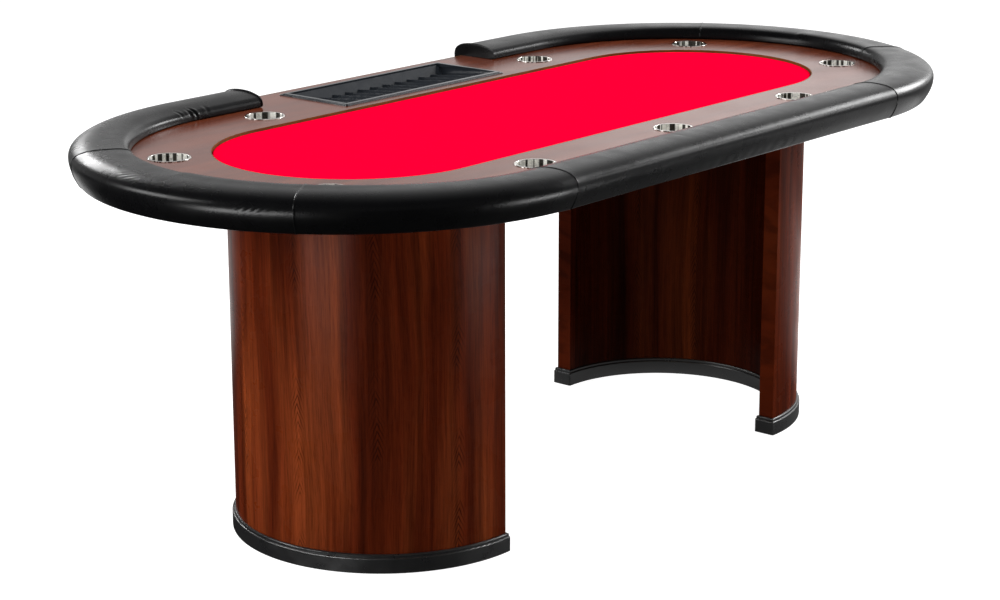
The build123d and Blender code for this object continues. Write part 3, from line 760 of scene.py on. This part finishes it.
def make_floor():
    """A plain white floor. In reflections it is dark in front of the table and bright beyond it."""
    size = 30.0
    mesh = bpy.data.meshes.new("floor")
    corners = [(-size, -size, 0), (size, -size, 0), (size, size, 0), (-size, size, 0)]
    mesh.from_pydata(corners, [], [(0, 1, 2, 3)])
    floor = bpy.data.objects.new("floor", mesh)
    bpy.context.scene.collection.objects.link(floor)
    paint = Shader("floor_paint", Base_Color=(0.4, 0.4, 0.4), Roughness=1.0, Specular_IOR_Level=0.0)
    seen_glow, unseen_glow = 1.0, 0.22
    seen = paint.add("LightPath", "Is Camera Ray")
    strength = paint.math("MULTIPLY_ADD", seen, seen_glow - unseen_glow, unseen_glow)
    paint.finish(Emission_Color=(1, 1, 1), Emission_Strength=strength)
    x, y, _ = paint.split(paint.place())
    beyond = paint.math("MULTIPLY_ADD", far_side(paint, x, y), 0.25, 0.5)
    bright = paint.ramp(beyond, (0.62, 0.14), (0.70, 1.3), (0.94, 1.3), (1.0, 0.25))
    right = paint.ramp(paint.math("ADD", x, 0.7), (0.0, 0.1), (0.8, 1.0))
    mirrored = paint.add("Emission", Color=paint.shade(bright, right))
    by_ray = {0: paint.add("LightPath", "Is Glossy Ray"), 1: paint.surface.outputs[0], 2: mirrored}
    choice = paint.tree.nodes.new("ShaderNodeMixShader")
    paint.set(choice, by_ray)
    paint.set(paint.tree.nodes["Material Output"], {"Surface": choice.outputs[0]})
    mesh.materials.append(paint.material)


def make_room():
    """A white surround. In reflections it is bright behind the table, and darker overhead and at the left."""
    world = bpy.data.worlds.new("surround")
    bpy.context.scene.world = world
    world.use_nodes = True
    sky = Graph(world.node_tree)
    x, y, height = sky.split(sky.place("Generated"))
    beyond = sky.math("MULTIPLY_ADD", far_side(sky, x, y), 0.5, 0.5)
    behind = sky.ramp(beyond, (0.45, 0.14), (0.8, 1.2))
    overhead = sky.ramp(height, (0.3, 1.0), (0.7, 0.42))
    quarter_turns = sky.math("DIVIDE", sky.math("ARCTAN2", y, x), math.pi / 2)
    fading = ((0.40, 1.05), (0.44, 0.75), (0.49, 0.46), (0.53, 0.52), (0.60, 0.55), (0.68, 0.30))
    mirrored = sky.shade(sky.shade(behind, overhead), sky.ramp(quarter_turns, *fading))
    seen = sky.add("LightPath", "Is Camera Ray")
    white = (1.2, 1.2, 1.2)
    background = sky.tree.nodes["Background"]
    sky.set(background, {"Color": sky.mix(seen, mirrored, white), "Strength": 1.0})


def make_lights():
    """Soft lights, named after where they stand."""
    softbox("key", 148, 14, 4.2, (2.0, 1.2), 12.0)
    softbox("left", 172, 40, 4.4, (2.4, 1.2), 7.0, mirrored=False)
    softbox("low_left", -178, -13, 2.6, (1.2, 0.3), 22.0, lighting=False)
    softbox("side", 77, 20, 4.4, (1.3, 0.6), 18.0)
    softbox("far_right", -13, 21, 5.2, (2.0, 1.6), 20.0)
    softbox("mid_right", -36, 14, 5.0, (1.7, 1.1), 4.0)
    softbox("low_right", -78, -21, 2.2, (1.2, 0.45), 24.0, lighting=False)
    softbox("overhead", 0, 90, 3.0, (3.2, 2.4), 1.15, mirrored=False)
    softbox("front_right", -80, 40, 4.5, (2.4, 1.0), 8.0, mirrored=False)


# ---------------------------------------------------------------- making it all
make_camera()
finishes = {
    "mahogany_laminate": laminate(),
    "edge_band": edge_band(),
    "birch_plywood": plywood(),
    "pine": pine(),
    "black_vinyl": vinyl(),
    "red_felt": felt(),
    "white_foam": foam(),
    "polished_steel": steel(),
    "tray_plastic": tray_plastic(),
    "black_lacquer": lacquer(),
    "zinc_steel": zinc(),
    "glide_plastic": nylon(),
}
pedestal_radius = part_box("right_outer_skin")[1].y
pedestal_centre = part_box("right_outer_skin")[1].x - pedestal_radius
# the inner skins get a darker copy of each veneer: painted shade for the pedestals' shadowed insides
INNER_PAINTED_SHADE = 0.4
veneers = {}
for word, side in (("left", -1), ("right", 1)):
    for inner, depth in ((False, 1.0), (True, INNER_PAINTED_SHADE)):
        label = f"mahogany_veneer_{word}" + "_inner" * inner
        veneers[word, inner] = veneer(label, side * pedestal_centre, pedestal_radius, depth)

for entry in frame["record"]["subparts"]:
    name, slot = entry["node"], entry["material_slot"]
    if slot == "mahogany_veneer":
        finish = veneers[name.split("_")[0], name.endswith("_inner_skin")]
    else:
        finish = finishes[slot]
    materials = frame["nodes"][name].data.materials
    materials.clear()
    materials.append(finish)

for name, (path, gap_start, gap_stop) in rail_paths().items():
    rail_panel(name, path, gap_start, gap_stop, finishes["black_vinyl"])
make_felt(finishes["red_felt"])
make_floor()
make_room()
make_lights()
bpy.context.scene.view_settings.view_transform = "Standard"
